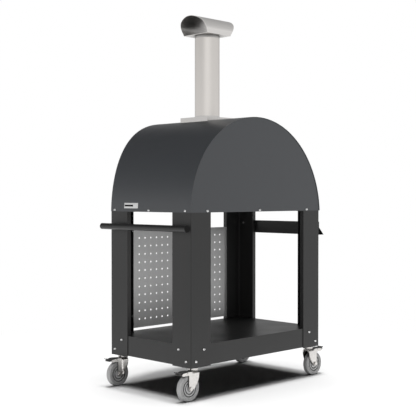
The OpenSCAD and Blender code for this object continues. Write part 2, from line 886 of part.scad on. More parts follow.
module door_leaf() {
    color("#b9b9b6") on_cart() {
        along_y(-door_back - door_t, -door_back) mouth_outline(door_lap, door_foot);
        for (share = hinge_z_shares)
            translate([-hinge_x, -hinge_y, hearth_z + share * mouth_h]) difference() {
                union() {
                    cylinder(r = knuckle_r, h = knuckle_h);
                    translate([0, -knuckle_tab_t / 2, 0])
                        cube([knuckle_r + door_gap + cut, knuckle_tab_t, knuckle_h]);
                }
                translate([0, 0, -cut]) cylinder(r = hinge_pin_r + running, h = knuckle_h + 2 * cut);
            }
    }
}

// Ears above and below each knuckle, on a foot that is fixed to the front panel
module hinge_brackets() {
    reach = hinge_y - mouth_front;
    color("#9c9c99") on_cart() for (share = hinge_z_shares)
        translate([-hinge_x, -hinge_y, hearth_z + share * mouth_h]) {
            for (z = [-ear_gap - ear_t, knuckle_h + ear_gap])
                translate([0, 0, z]) difference() {
                    union() {
                        cylinder(r = knuckle_r, h = ear_t);
                        translate([-knuckle_r, 0, 0]) cube([2 * knuckle_r, reach, ear_t]);
                    }
                    translate([0, 0, -cut]) cylinder(r = hinge_pin_r + running, h = ear_t + 2 * cut);
                }
            translate([-knuckle_r - hinge_foot_w / 2, reach - door_gap / 2, -ear_gap - ear_t])
                cube([hinge_foot_w / 2 + seat, door_gap / 2, knuckle_h + 2 * (ear_gap + ear_t)]);
        }
}

module hinge_pins() {
    foot = ear_gap + ear_t;
    color("#8a8a88") on_cart() for (share = hinge_z_shares)
        translate([-hinge_x, -hinge_y, hearth_z + share * mouth_h - foot]) {
            cylinder(r = hinge_pin_r, h = knuckle_h + 2 * foot + seat);
            translate([0, 0, knuckle_h + 2 * foot + seat])
                cylinder(r = hinge_pin_head_r, h = hinge_pin_head_h);
        }
}

module door_grip() {
    z = hearth_z + grip_z_share * mouth_h;
    color("#2a2420") on_cart() translate([-grip_len / 2, -door_back - door_t - grip_reach, z])
        facing_x(1) rotate_extrude() {
            square([grip_d / 2 - grip_round_r, grip_len]);
            translate([0, grip_round_r]) square([grip_d / 2, grip_len - 2 * grip_round_r]);
            for (end = [grip_round_r, grip_len - grip_round_r])
                translate([grip_d / 2 - grip_round_r, end]) circle(r = grip_round_r, $fn = small_fn);
        }
}

module grip_posts() {
    z = hearth_z + grip_z_share * mouth_h;
    color("#a9a9a6") on_cart() difference() {
        for (sign = [-1, 1])
            translate([sign * (grip_len / 2 - grip_post_inset), -door_back - door_t, z])
                facing_y(-1) cylinder(r = grip_post_r, h = grip_reach);
        translate([0, -door_back - door_t - grip_reach, z]) facing_x(1)
            cylinder(d = grip_d + 2 * seat, h = 2 * grip_len, center = true);
    }
}

// Places its children at the swivel axis of caster i, on the floor, with +X along the trail
module at_caster(i) {
    x = corners[i][0] * (half_w - caster_side_inset);
    y = corners[i][1] * (half_d - caster_end_inset);
    placed() translate([x, y, 0]) rotate([0, 0, rest_turns[i]]) children();
}

// Fixed head of a caster, with the king pin below and the threaded stem above
module caster_head(i) {
    base = caster_h - head_h;
    pin_z = crown_z - race_gap - king_head_h;
    color("#c4bfba") at_caster(i) {
        translate([0, 0, base]) cylinder(r = head_r, h = head_h - head_neck_h);
        translate([0, 0, base]) cylinder(r = head_neck_r, h = head_h);
        translate([0, 0, pin_z]) cylinder(r = king_r, h = base - pin_z + seat);
        translate([0, 0, pin_z]) cylinder(r = king_head_r, h = king_head_h);
        translate([0, 0, base]) cylinder(r = stem_r, h = head_h + stem_len);
        translate([0, 0, caster_h + leg_t]) cylinder(r = stem_nut_r, h = stem_nut_h, $fn = 6);
    }
}

// Side outline of a fork leg, in x and z: a wing that carries the brake, and a broad leg that
// curves back to its foot
module fork_side() {
    top = crown_z + crown_t;
    low = top - wing_h;
    foot = [caster_trail, wheel_r];
    cheek = [-fork_front, top - fork_cheek_h];
    heel = foot + fork_end_r * [cos(fork_heel_turn), sin(fork_heel_turn)];
    back_x = caster_trail + fork_end_r;
    tip = [wing_reach - wing_tip_r, low + wing_tip_r];
    difference() {
        union() {
            translate(foot) circle(r = fork_end_r);
            translate(tip) circle(r = wing_tip_r);
            polygon([[-fork_front, top], cheek, foot, [back_x, wheel_r], [back_x, low],
                tip - [0, wing_tip_r], tip + [0, wing_tip_r], [back_x, top]]);
            intersection() {
                translate(arc_centre(cheek, heel, fork_bulge_r))
                    circle(r = fork_bulge_r, $fn = big_fn);
                polygon([cheek, [cheek[0], heel[1]], heel, foot]);
            }
            translate([back_x - seat, low - notch_r]) difference() {
                square([notch_r + seat, notch_r + seat]);
                translate([notch_r + seat, 0]) circle(r = notch_r, $fn = small_fn);
            }
        }
        translate(foot) circle(r = axle_r + seat);
    }
}

module fork(i) {
    race_h = caster_h - head_h - race_gap - crown_z - crown_t;
    color("#c4bfba") at_caster(i) {
        difference() {
            union() {
                for (y = [-fork_y - fork_t, fork_y])
                    along_y(y, y + fork_t) fork_side();
                translate([-fork_front, -fork_y, crown_z])
                    cube([fork_front + head_r, 2 * fork_y, crown_t]);
                translate([0, 0, crown_z]) cylinder(r = race_r, h = crown_t + race_h);
            }
            translate([0, 0, crown_z - cut]) cylinder(r = king_r + running, h = race_h + 3 * cut);
        }
        translate([pedal_pivot_x, fork_y + fork_t, caster_h - pedal_pivot_down])
            rotate([90, 0, 0]) cylinder(r = pedal_pin_r, h = 2 * (fork_y + fork_t));
    }
}

module axle(i) {
    reach = fork_y + fork_t;
    color("#a09c98") at_caster(i) translate([caster_trail, 0, wheel_r]) {
        facing_y(1) cylinder(r = axle_r, h = 2 * reach, center = true);
        translate([0, reach, 0]) facing_y(1) cylinder(r = axle_head_r, h = axle_head_h, $fn = 6);
        translate([0, -reach, 0]) facing_y(-1) cylinder(r = axle_head_r, h = axle_head_h, $fn = 6);
    }
}

// Tyre section from its bore to its tread, with rounded shoulders and a groove round each side
module tyre_section() {
    half = wheel_w / 2;
    difference() {
        union() {
            translate([tyre_in_r, -half]) square([wheel_r - tyre_in_r - tyre_round_r, wheel_w]);
            translate([tyre_in_r, -half + tyre_round_r])
                square([wheel_r - tyre_in_r, wheel_w - 2 * tyre_round_r]);
            for (y = [-half + tyre_round_r, half - tyre_round_r])
                translate([wheel_r - tyre_round_r, y]) circle(r = tyre_round_r);
        }
        for (y = [-half, half])
            translate([wheel_r * tyre_groove_share, y]) circle(r = tyre_groove_r, $fn = small_fn);
    }
}

module tyre(i) {
    color("#a8a8a8") at_caster(i) translate([caster_trail, 0, wheel_r])
        facing_y(1) rotate_extrude() tyre_section();
}

// Hub section: a boss, a web with a raised ring, and a rim that carries the tyre
module hub_section() {
    rim_w = wheel_w - 2 * hub_boss_over;
    boss_w = wheel_w + 2 * hub_boss_over;
    bore_r = axle_r + running;
    translate([bore_r, -boss_w / 2]) square([hub_boss_r - bore_r, boss_w]);
    translate([bore_r, -hub_web_w / 2]) square([tyre_in_r - seat - bore_r, hub_web_w]);
    translate([hub_step_r - hub_step_t / 2, -hub_step_w / 2]) square([hub_step_t, hub_step_w]);
    translate([tyre_in_r - seat - hub_rim_t, -rim_w / 2]) square([hub_rim_t, rim_w]);
}

module hub(i) {
    color("#7d7d7d") at_caster(i) translate([caster_trail, 0, wheel_r])
        facing_y(1) rotate_extrude() hub_section();
}

// Brake pedal: a lever over the wings with a split tip, and a shoe over the tread
module brake_pedal(i) {
    tip_x = pedal_reach - pedal_pivot_x;
    color("#3a3a3a") at_caster(i) translate([pedal_pivot_x, 0, caster_h - pedal_pivot_down])
        difference() {
            union() {
                along_y(-pedal_w / 2, pedal_w / 2) pedal_arm(tip_x - pedal_lobe_in);
                along_y(-pedal_tip_w / 2, pedal_tip_w / 2) pedal_tip(tip_x);
            }
            facing_y(1) cylinder(r = pedal_pin_r + running, h = 2 * pedal_w, center = true);
        }
}

// Side outline of the lever as far as its lobe, with the boss and the shoe
module pedal_arm(lobe_x) {
    circle(r = pedal_boss_r);
    translate([shoe_x, -shoe_down]) circle(r = shoe_r);
    polygon([[-pedal_boss_r, 0], [shoe_x - shoe_r, -shoe_down], [shoe_x + shoe_r, -shoe_down],
        [lobe_x, pedal_lobe_up - pedal_lobe_r], [lobe_x, pedal_top_up - pedal_dip],
        [lobe_x - 2 * pedal_lobe_r, pedal_top_up], [-pedal_arm_in, pedal_top_up],
        [-pedal_arm_in, pedal_top_up - pedal_t]]);
}

// Side outline of the tip: a round lobe, a prong that rises and a shorter one below it
module pedal_tip(tip_x) {
    lobe = [tip_x - pedal_lobe_in, pedal_lobe_up];
    fork_z = pedal_top_up - pedal_dip - prong_t;
    translate(lobe) circle(r = pedal_lobe_r);
    polygon([lobe, [lobe[0], pedal_top_up - pedal_dip], [tip_x - prong_t / 2, pedal_top_up],
        [tip_x, pedal_top_up - prong_t / 2], [lobe[0] + pedal_lobe_r, fork_z]]);
    polygon([lobe, lobe - [0, pedal_lobe_r], [tip_x - prong_back, lobe[1] - prong_t],
        [tip_x - prong_back - prong_t / 2, lobe[1] - prong_t / 2], lobe + [pedal_lobe_r, 0]]);
}

leg(0);  // leg_front_left
leg(1);  // leg_front_right
leg(2);  // leg_rear_left
leg(3);  // leg_rear_right
lower_shelf();
leg_screws();
tool_panel();
panel_screws();
handle_tube();
handle_posts();
handle_plugs();
side_rail();
side_bolts();
base_pan();
frame_bolts();
hood_shell();
back_panel();
front_panel();
front_sill();
hood_screws();
badge_plate();
oven_vault();
insulation();
hearth_board();
hearth_tiles();
flue_throat();
flue_collar();
chimney_pipe();
chimney_cap();
door_leaf();
door_grip();
grip_posts();
hinge_brackets();
hinge_pins();
caster_head(0);  // caster_head_front_left
caster_head(1);  // caster_head_front_right
caster_head(2);  // caster_head_rear_left
caster_head(3);  // caster_head_rear_right
fork(0);  // fork_front_left
fork(1);  // fork_front_right
fork(2);  // fork_rear_left
fork(3);  // fork_rear_right
axle(0);  // axle_front_left
axle(1);  // axle_front_right
axle(2);  // axle_rear_left
axle(3);  // axle_rear_right
tyre(0);  // tyre_front_left
tyre(1);  // tyre_front_right
tyre(2);  // tyre_rear_left
tyre(3);  // tyre_rear_right
hub(0);  // hub_front_left
hub(1);  // hub_front_right
hub(2);  // hub_rear_left
hub(3);  // hub_rear_right
brake_pedal(0);  // brake_pedal_front_left
brake_pedal(1);  // brake_pedal_front_right
brake_pedal(2);  // brake_pedal_rear_left
brake_pedal(3);  // brake_pedal_rear_right
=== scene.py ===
"""Looks of an outdoor pizza oven on a wheeled cart. Metres, +Z up, the mouth towards -Y."""

import json
import math

import bmesh
import bpy
from mathutils import Matrix, Vector
from mathutils.geometry import delaunay_2d_cdt


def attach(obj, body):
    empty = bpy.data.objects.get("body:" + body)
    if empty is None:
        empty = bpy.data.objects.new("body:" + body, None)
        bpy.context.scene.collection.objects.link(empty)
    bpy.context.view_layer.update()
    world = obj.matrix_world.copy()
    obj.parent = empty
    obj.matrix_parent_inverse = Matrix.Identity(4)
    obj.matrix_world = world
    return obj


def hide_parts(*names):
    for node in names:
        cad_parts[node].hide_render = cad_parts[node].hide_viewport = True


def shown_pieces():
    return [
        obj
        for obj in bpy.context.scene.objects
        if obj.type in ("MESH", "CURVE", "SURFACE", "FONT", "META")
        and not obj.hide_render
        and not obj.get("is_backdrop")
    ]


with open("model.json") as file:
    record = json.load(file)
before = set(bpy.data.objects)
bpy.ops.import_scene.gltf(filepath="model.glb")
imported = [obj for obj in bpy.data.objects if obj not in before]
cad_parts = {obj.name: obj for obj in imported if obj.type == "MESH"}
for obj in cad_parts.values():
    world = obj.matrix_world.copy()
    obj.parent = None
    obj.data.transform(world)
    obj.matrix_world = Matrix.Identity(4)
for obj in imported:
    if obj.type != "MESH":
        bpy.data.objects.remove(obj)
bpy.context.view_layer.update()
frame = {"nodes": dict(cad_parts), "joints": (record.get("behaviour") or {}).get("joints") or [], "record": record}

MM = 0.001
CORNERS = ["front_left", "front_right", "rear_left", "rear_right"]
joints = {joint["name"]: joint for joint in frame["joints"]}
materials = {}

# Camera, at the photograph's view
IMAGE_SIZE = 416
FOCAL_PIXELS = 929.54
SENSOR_WIDTH = 36.0
CAMERA_PLACE = Vector((3.640, 3.616, 1.0157))
CAMERA_AZIMUTH = 134.99
CAMERA_PITCH = -0.8126

# Floor: its grey as it lights the part and as the camera sees it, and where it fades to white
FLOOR_SIZE = 60.0
FLOOR_BOUNCE, FLOOR_SEEN = 0.95, 0.77
FLOOR_FADE = (1.1, 2.2)

# Suns straight above that light the floor alone: power, and width as an angle
FLOOR_SUNS = {"floor_sun": (1.95, 5.0), "floor_sky": (2.5, 46.0)}
# Round lamps that light the part alone
LAMP_SIZE = 3.0
LAMP_HEIGHT = 5.0
ABOVE_LAMP_POWER = 40.0
SIDE_LAMP_POWER = 150.0
SIDE_LAMP_REACH = 4.5
SIDE_LAMP_HEIGHT = 2.2
SIDE_LAMP_TARGET = (0, 0, 0.9)
SIDE_LAMP_AZIMUTHS = {"lamp_left": 90, "lamp_right": 180, "lamp_front": 0, "lamp_far": 270}
AMBIENT = 0.02

# Brightness of the studio's walls, which only gloss shows, by the sine of their elevation:
# towards the camera's left, where a dark wall stands, and towards its right
DARK_WALL = {0.0: 1.0, 0.12: 0.88, 0.34: 0.24, 0.60: 0.04, 0.85: 0.08, 1.0: 0.4}
PALE_WALL = {0.0: 1.0, 0.12: 0.80, 0.40: 0.68, 0.64: 0.64, 0.85: 0.56, 1.0: 0.4}
# Level of the walls behind the part and before it
FAR_LEVEL, NEAR_LEVEL = 0.68, 1.06
# Where each wall stands, and how far a ray turns there for it to begin and to be whole
DIAGONAL = 0.7071
DARK_SIDE, DARK_TURN = (DIAGONAL, -DIAGONAL, 0.0), (-0.15, 0.3)
FAR_SIDE, FAR_TURN = (-DIAGONAL, -DIAGONAL, 0.0), (0.5, 0.95)
NEAR_SIDE, NEAR_TURN = (DIAGONAL, DIAGONAL, 0.0), (0.8, 0.95)

# Finishes

# A noise is its cells per metre, its detail and, where it has them, its stretch and roughness. A
# bump is its height in metres and its strength.
NOISE_START, NOISE_END = 0.3, 0.7
USUAL_GLOSS = 0.5
PAINT_CLOUDS, PAINT_SPECKLE, PAINT_PEEL = (6.0, 3.0), (1500.0, 1.0), (700.0, 2.0)
PAINT_SHADES = (0.9, 1.12)
PAINT_SPREAD = 0.03
PAINT_BUMP = (0.00006, 0.5)
BRUSH_SCRATCHES, BRUSH_CLOUDS = (28.0, 6.0), (3.0, 2.0)
BRUSH_STRETCH, BRUSH_ROUGHNESS = 60.0, 0.65
BRUSH_SPREAD, BRUSH_CLOUD_SPREAD = 0.05, 0.03
BRUSH_PULL = 0.4
BRUSH_BUMP = (0.00002, 0.4)
PLATED_CLOUDS, PLATED_PITS = (90.0, 3.0), (900.0, 2.0)
PLATED_SHADE = 0.86
PLATED_SPREAD = (-0.05, 0.06)
PLATED_BUMP = (0.00002, 0.4)
MATTE_DETAIL = 3.0
MATTE_SPREAD = 0.05
MATTE_BUMP_STRENGTH = 0.6
WOOD_RINGS = (30.0, 4.0, (0.35, 6.0, 6.0), 0.6)
WOOD_PORES = (60.0, 3.0, (0.6, 18.0, 18.0))
WOOD_RING_SHARE = 0.7
WOOD_SPAN = (0.35, 0.65)
WOOD_ROUGHNESS = (0.42, 0.58)
WOOD_BUMP = (0.0002, 0.5)
# Painted shade, a darker colour where other surfaces close a place in: inside the chimney cap and
# in the wheels' grooves. How near those surfaces are, how open the place is where the shade is
# darkest and where it ends, and its grey
CAP_SHADE_REACH, CAP_SHADE_FADE, CAP_SHADE_GREY = 0.12, (0.45, 0.85), 0.01
GROOVE_SHADE_REACH, GROOVE_SHADE_FADE, GROOVE_SHADE_GREY = 0.010, (0.35, 0.95), 0.02
# Samples of the painted shade's ambient occlusion
CLOSED_SHADE_SAMPLES = 8
# Nodes whose finish differs from their slot's: the chimney cap's steel, with painted shade inside
OTHER_FINISH = {"chimney_cap": "shaded_cap_steel"}

# Meshes, in millimetres and degrees, with the share of a grid's step that its points keep clear
ARC_STEPS = 5
RING_STEPS = 72
RIM_GAP = 0.2
GRID_SHARE = 0.6
SAME_POINT = 1e-6
WELD = 1e-4
CREASE = 32.0
BEVEL_SEGMENTS, BEVEL_ANGLE = 2, 40.0

# Casters, in millimetres from the floor and the swivel axis, with +X along the trail

# A corner of an outline is its two places and its rounding
WHEEL = (36.0, 65.0)
# Half sections of the tyre and the hub: radius, distance from the middle and rounding
TYRE_SECTION = [(48.2, 13.6, 0.3), (49.6, 15.6, 0.6), (52.2, 15.9, 0.3), (52.8, 14.7, 0.3),
                (54.0, 14.7, 0.3), (54.6, 15.9, 0.4), (58.8, 15.7, 0.4), (59.3, 14.3, 0.3),
                (60.5, 14.3, 0.3), (61.0, 15.3, 0.6), (63.8, 13.0, 1.6),
                (64.9, 9.0, 2.0), (65.0, 3.0, 0.5)]
HUB_SECTION = [(6.2, 17.8, 0.3), (11.5, 17.8, 0.8), (13.6, 16.4, 0.8), (14.2, 12.0, 0.6),
               (16.5, 12.8, 0.8), (24.6, 12.8, 0.9), (25.2, 6.0, 0.4), (30.4, 6.0, 0.4),
               (31.2, 13.8, 0.9), (37.2, 13.8, 0.9), (38.0, 6.4, 0.4), (44.0, 6.4, 0.4),
               (44.8, 13.9, 0.6), (48.1, 13.9, 0.3)]
TYRE_STEPS, HUB_STEPS = 120, 96

# Fork: its sheet, its crown and the curved front edge of its legs
FORK_IN, FORK_OUT = 19.5, 22.5
FORK_TOP, CROWN_LOW = 148.0, 145.0
FORK_FRONT, HEAD_R = 20.0, 26.0
CROWN_ROUND_LOW, CROWN_ROUND_HIGH = 0.5, 1.0
CROWN_XS = (20.0, 0.0, -FORK_FRONT)
CHEEK_Z = 132.0
LEG_BULGE_R, LEG_BULGE_STEPS = 90.0, 24
FOOT_R, FOOT_STEPS = 12.0, 12
HEEL_TURN, FOOT_TURNS = 235.0, (245.0, 360.0)
# The leg's straight back edge, and the points along it above the axle
LEG_BACK = 48.0
LEG_RISES = (15.0, 30.0, 45.0)
# The wing that holds the pedal, and the notch under it
NOTCH_R, NOTCH_TURNS = 5.0, (165.0, 90.0)
WING_LOW, WING_FLAT_END = 131.0, 70.0
WING_TIP, WING_TIP_R, WING_TIP_STEPS = (87.0, 138.0), 7.0, 12
WING_TOP = [(66.0, 147.0), (LEG_BACK, FORK_TOP), (34.0, FORK_TOP)]
# The pressed step: its rise in x, how far that shifts and between which heights, and its ends
STEP_HIGH = 6.0
STEP_RISE = (10.0, 22.0)
STEP_SHIFT, STEP_SHIFT_ENDS = 6.0, (72.0, 92.0)
STEP_LOW_END, STEP_HIGH_END = (50.0, 60.0), (139.0, 147.0)
# The curled front edge, with the insets and depths of its points, and the rolled top
CURL_R, CURL_END = 8.0, (62.0, 80.0)
CURL_INSETS = (0.3, 0.9, 1.8, 3.0, 4.6, 6.4, CURL_R)
CURL_DEPTHS = (1.0, 4.0, 8.0)
CURL_LEAD, CURL_STEPS = 3.0, 44
ROLL_R, ROLL_END = 5.0, (24.0, 33.0)
PLATE_STEP = 2.5
RACE_SECTION = [(8.1, 151.4, 0.0), (23.5, 151.4, 0.6), (24.5, 152.6, 0.5), (24.5, 154.4, 0.5),
                (23.5, 155.5, 0.5), (8.1, 155.5, 0.0)]
SEAL_SECTION = [(8.1, 147.8, 0.0), (20.2, 147.8, 0.3), (21.4, 149.5, 0.6), (20.2, 151.2, 0.3),
                (8.1, 151.2, 0.0)]

# Pedal: its pin with riveted ends, and its outlines and sections from the pin
PEDAL = (57.0, 141.0)
PIN_R, PIN_STEPS = 3.0, 24
RIVET = [(0.0, 0.0, 0.0), (5.0, 0.0, 0.3), (4.6, 1.4, 0.9), (0.0, 2.0, 0.0)]
PEDAL_HALF, SHOE_HALF, PEDAL_TIP_HALF = 15.0, 14.0, 18.0
PEDAL_ARM = [(-23.0, 5.6, 0.6), (-23.0, 8.8, 1.4), (20.0, 10.6, 6.0), (38.0, 6.0, 3.0),
             (43.0, 6.5, 0.5), (43.0, 2.6, 0.5), (36.0, 0.0, 2.0), (20.0, 5.6, 4.0),
             (10.0, 3.0, 3.0), (3.0, -6.0, 3.0), (-6.4, -1.0, 3.0), (-9.0, 5.6, 3.0)]
PEDAL_SHOE = [(-6.0, -2.0, 2.0), (0.0, -5.0, 1.0), (4.4, -10.5, 0.5), (5.5, -13.6, 2.2),
              (10.6, -13.6, 2.2), (11.6, -8.5, 1.5), (6.0, 0.0, 2.0), (0.0, 4.0, 2.0)]
PEDAL_PRONGS = [[(42.0, 4.0, 0.5), (43.0, 6.6, 1.0), (55.6, 11.2, 1.2), (56.8, 8.8, 1.2),
                 (46.0, 3.8, 1.0)],
                [(40.0, -3.8, 0.5), (46.0, -1.6, 1.0), (51.6, -1.4, 0.9), (52.0, -3.4, 0.9),
                 (43.0, -5.4, 1.0)]]
PEDAL_CURL_AT = (40.0, 2.0)
PEDAL_CURL = [(3.6, -PEDAL_TIP_HALF, 0.4), (6.0, -PEDAL_TIP_HALF, 0.8),
              (6.0, PEDAL_TIP_HALF, 0.8), (3.6, PEDAL_TIP_HALF, 0.4)]
PEDAL_EYE = [(3.05, -PEDAL_HALF), (6.5, -PEDAL_HALF), (6.5, PEDAL_HALF), (3.05, PEDAL_HALF)]
PEDAL_STEPS = 32
RIB_XS = (4.0, 8.5, 13.0)
RIB_HALF, RIB_LOW, RIB_HIGH, RIB_ROUND = 0.9, 8.6, 11.0, 0.5
RIB_SPAN_HALF = 13.0

# Rounding of edges, in metres
PEDAL_BEVEL = 0.0005
NODE_BEVELS = {"axle_": 0.0006, "caster_head_": 0.0008}

# Fittings, in millimetres: a flange's section, and the inlay's place and size on the badge
FLANGED_SCREWS = ("leg_screws", "hood_screws")
FLANGE_SECTION = [(4.8, 0.0, 0.0), (5.7, 0.0, 0.1), (5.7, 0.5, 0.3), (4.8, 0.9, 0.1)]
FLANGE_STEPS, FLANGE_ARC_STEPS = 32, 2
INLAY_UP, INLAY_HIGH = 9.5, 9.0
INLAY_IN, INLAY_LONG = 4.5, 64.0
INLAY_SINK, INLAY_THICK, INLAY_ROUND = 0.2, 1.0, 0.3


# Node trees

def grey(value, warm=0.0):
    """Linear grey with a little red and less blue, as a colour with alpha."""
    return (value * (1 + warm), value, value * (1 - warm), 1.0)


class Graph:
    """A node tree, with a short call for each kind of node that the materials use."""

    def __init__(self, owner):
        owner.use_nodes = True
        self.tree = owner.node_tree
        self.tree.nodes.clear()

    def add(self, kind, inputs=None, **settings):
        """A node with these inputs and settings."""
        node = self.tree.nodes.new(kind)
        for name, value in settings.items():
            setattr(node, name, value)
        for name, value in (inputs or {}).items():
            self.put(value, node.inputs[name])
        return node

    def put(self, value, socket):
        """Links a socket to another, or sets its own value."""
        if isinstance(value, bpy.types.NodeSocket):
            self.tree.links.new(value, socket)
        else:
            socket.default_value = value

    def math(self, operation, a, b):
        """Value from two values."""
        return self.add("ShaderNodeMath", {0: a, 1: b}, operation=operation).outputs[0]

    def place(self, stretch=(1, 1, 1)):
        """Object coordinates in metres, stretched."""
        where = self.add("ShaderNodeTexCoord").outputs["Object"]
        return self.add("ShaderNodeMapping", {"Vector": where, "Scale": stretch}).outputs[0]

    def noise(self, scale, detail, stretch=(1, 1, 1), roughness=0.5):
        """Cloudy value, mostly between NOISE_START and NOISE_END."""
        inputs = {"Vector": self.place(stretch), "Scale": scale, "Detail": detail,
                  "Roughness": roughness}
        return self.add("ShaderNodeTexNoise", inputs).outputs["Fac"]

    def fit(self, value, low, high, start=NOISE_START, end=NOISE_END):
        """Spreads a value from start..end to low..high."""
        inputs = {"Value": value, "From Min": start, "From Max": end, "To Min": low,
                  "To Max": high}
        return self.add("ShaderNodeMapRange", inputs).outputs["Result"]

    def blend(self, factor, first, second):
        """Colour between two colours. A mix node keeps those at 6 and 7, and gives its own at 2."""
        inputs = {0: factor, 6: first, 7: second}
        return self.add("ShaderNodeMix", inputs, data_type="RGBA").outputs[2]

    def mottle(self, noise, dark, light):
        """Colour that a noise moves from dark to light."""
        return self.blend(self.fit(noise, 0.0, 1.0), dark, light)

    def ramp(self, value, levels):
        """Greys along a value, from places and levels."""
        node = self.add("ShaderNodeValToRGB", {"Fac": value})
        stops = node.color_ramp.elements
        while len(stops) < len(levels):
            stops.new(0.5)
        for stop, (place, level) in zip(stops, levels.items()):
            stop.position = place
            stop.color = grey(level)
        return node.outputs["Color"]

    def bump(self, height, distance, strength):
        """Normal of a surface that a value raises."""
        inputs = {"Height": height, "Distance": distance, "Strength": strength}
        return self.add("ShaderNodeBump", inputs).outputs["Normal"]

    def towards(self, ray, side, turn, most=1.0):
        """How much of a wall on one side a ray meets, from 0 to most."""
        along = self.add("ShaderNodeVectorMath", {0: ray, 1: side}, operation="DOT_PRODUCT")
        return self.fit(along.outputs["Value"], 0.0, most, *turn)

    def paint_closed_shade(self, base, most, reach, fade, value):
        """Painted shade: colour turned to a grey, by most at most, where other surfaces close it in."""
        openness = self.add("ShaderNodeAmbientOcclusion", {"Distance": reach},
                            samples=CLOSED_SHADE_SAMPLES)
        closed = self.fit(openness.outputs["AO"], most, 0.0, *fade)
        return self.blend(closed, base, grey(value))

    def finish(self, **inputs):
        """Ends the tree in a Principled shader. Underscores in a name stand for spaces."""
        values = {name.replace("_", " "): value for name, value in inputs.items()}
        shader = self.add("ShaderNodeBsdfPrincipled", values)
        self.add("ShaderNodeOutputMaterial", {"Surface": shader.outputs[0]})


# Camera and light

def direction(azimuth, elevation):
    """Unit vector that a camera looks along: azimuth 0 is +Y and 90 is -X, in degrees."""
    turn, rise = math.radians(azimuth), math.radians(elevation)
    level = math.cos(rise)
    return Vector((-math.sin(turn) * level, math.cos(turn) * level, math.sin(rise)))


def make_camera():
    """The camera, where and as long as fitted to the photograph."""
    data = bpy.data.cameras.new("camera")
    data.sensor_width = SENSOR_WIDTH
    data.lens = FOCAL_PIXELS * SENSOR_WIDTH / IMAGE_SIZE
    camera = bpy.data.objects.new("camera", data)
    camera.location = CAMERA_PLACE
    camera.rotation_mode = "QUATERNION"
    look = direction(CAMERA_AZIMUTH, CAMERA_PITCH)
    camera.rotation_quaternion = look.to_track_quat("-Z", "Y")
    bpy.context.scene.collection.objects.link(camera)
    bpy.context.scene.camera = camera


def make_world():
    """White behind the part, faint light all round, and walls that only gloss shows."""
    world = bpy.data.worlds.new("studio")
    bpy.context.scene.world = world
    graph = Graph(world)
    path = graph.add("ShaderNodeLightPath").outputs
    seen = graph.math("MAXIMUM", path["Is Camera Ray"], path["Is Transmission Ray"])
    seen = graph.math("MAXIMUM", seen, path["Is Glossy Ray"])
    light = graph.add("ShaderNodeBackground", {"Color": grey(1.0), "Strength": AMBIENT})
    ray = graph.add("ShaderNodeTexCoord").outputs["Generated"]
    height = graph.add("ShaderNodeSeparateXYZ", {"Vector": ray}).outputs["Z"]
    dark = graph.towards(ray, DARK_SIDE, DARK_TURN)
    walls = graph.blend(dark, graph.ramp(height, PALE_WALL), graph.ramp(height, DARK_WALL))
    far = graph.towards(ray, FAR_SIDE, FAR_TURN, 1.0 - FAR_LEVEL)
    walls = graph.blend(far, walls, grey(0.0))
    near = graph.towards(ray, NEAR_SIDE, NEAR_TURN)
    walls = graph.blend(near, walls, grey(NEAR_LEVEL))
    walls = graph.blend(path["Is Camera Ray"], walls, grey(1.0))
    white = graph.add("ShaderNodeBackground", {"Color": walls, "Strength": 1.0})
    mixed = graph.add("ShaderNodeMixShader", {0: seen, 1: light.outputs[0], 2: white.outputs[0]})
    graph.add("ShaderNodeOutputWorld", {"Surface": mixed.outputs[0]})


def make_floor():
    """A plain floor that keeps the shadow and is white further out."""
    mesh = bpy.data.meshes.new("floor")
    half = FLOOR_SIZE / 2
    corners = [(-half, -half, 0), (half, -half, 0), (half, half, 0), (-half, half, 0)]
    mesh.from_pydata(corners, [], [range(len(corners))])
    floor = bpy.data.objects.new("floor", mesh)
    bpy.context.scene.collection.objects.link(floor)
    material = bpy.data.materials.new("floor")
    graph = Graph(material)
    path = graph.add("ShaderNodeLightPath").outputs
    colour = graph.blend(path["Is Camera Ray"], grey(FLOOR_BOUNCE), grey(FLOOR_SEEN))
    near = graph.add("ShaderNodeBsdfDiffuse", {"Color": colour})
    far = graph.add("ShaderNodeEmission", {"Color": grey(1.0)})
    away = graph.add("ShaderNodeVectorMath", {0: graph.place()}, operation="LENGTH")
    fade = graph.fit(away.outputs["Value"], 0.0, 1.0, *FLOOR_FADE)
    fade = graph.math("MULTIPLY", fade, graph.math("SUBTRACT", 1.0, path["Is Diffuse Ray"]))
    mixed = graph.add("ShaderNodeMixShader", {0: fade, 1: near.outputs[0], 2: far.outputs[0]})
    graph.add("ShaderNodeOutputMaterial", {"Surface": mixed.outputs[0]})
    mesh.materials.append(material)
    floor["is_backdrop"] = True
    return floor


def add_lamp(data, place, look):
    """Puts a lamp in the scene, which gloss doesn't show."""
    lamp = bpy.data.objects.new(data.name, data)
    lamp.location = place
    lamp.rotation_mode = "QUATERNION"
    lamp.rotation_quaternion = look.to_track_quat("-Z", "Y")
    lamp.visible_glossy = False
    bpy.context.scene.collection.objects.link(lamp)
    return lamp


def make_sun(name, power, angle):
    """A sun straight above, as wide as an angle in degrees."""
    data = bpy.data.lights.new(name, "SUN")
    data.energy = power
    data.angle = math.radians(angle)
    return add_lamp(data, (0, 0, LAMP_HEIGHT), Vector((0, 0, -1)))


def make_lamp(name, place, target, power):
    """A round lamp that faces a target."""
    data = bpy.data.lights.new(name, "AREA")
    data.shape = "DISK"
    data.size = LAMP_SIZE
    data.energy = power
    return add_lamp(data, place, Vector(target) - Vector(place))


def light_only(lamps, name, objects):
    """Makes these lamps light nothing but these objects."""
    lit = bpy.data.collections.new(name)
    for item in objects:
        lit.objects.link(item)
    for lamp in lamps:
        lamp.light_linking.receiver_collection = lit


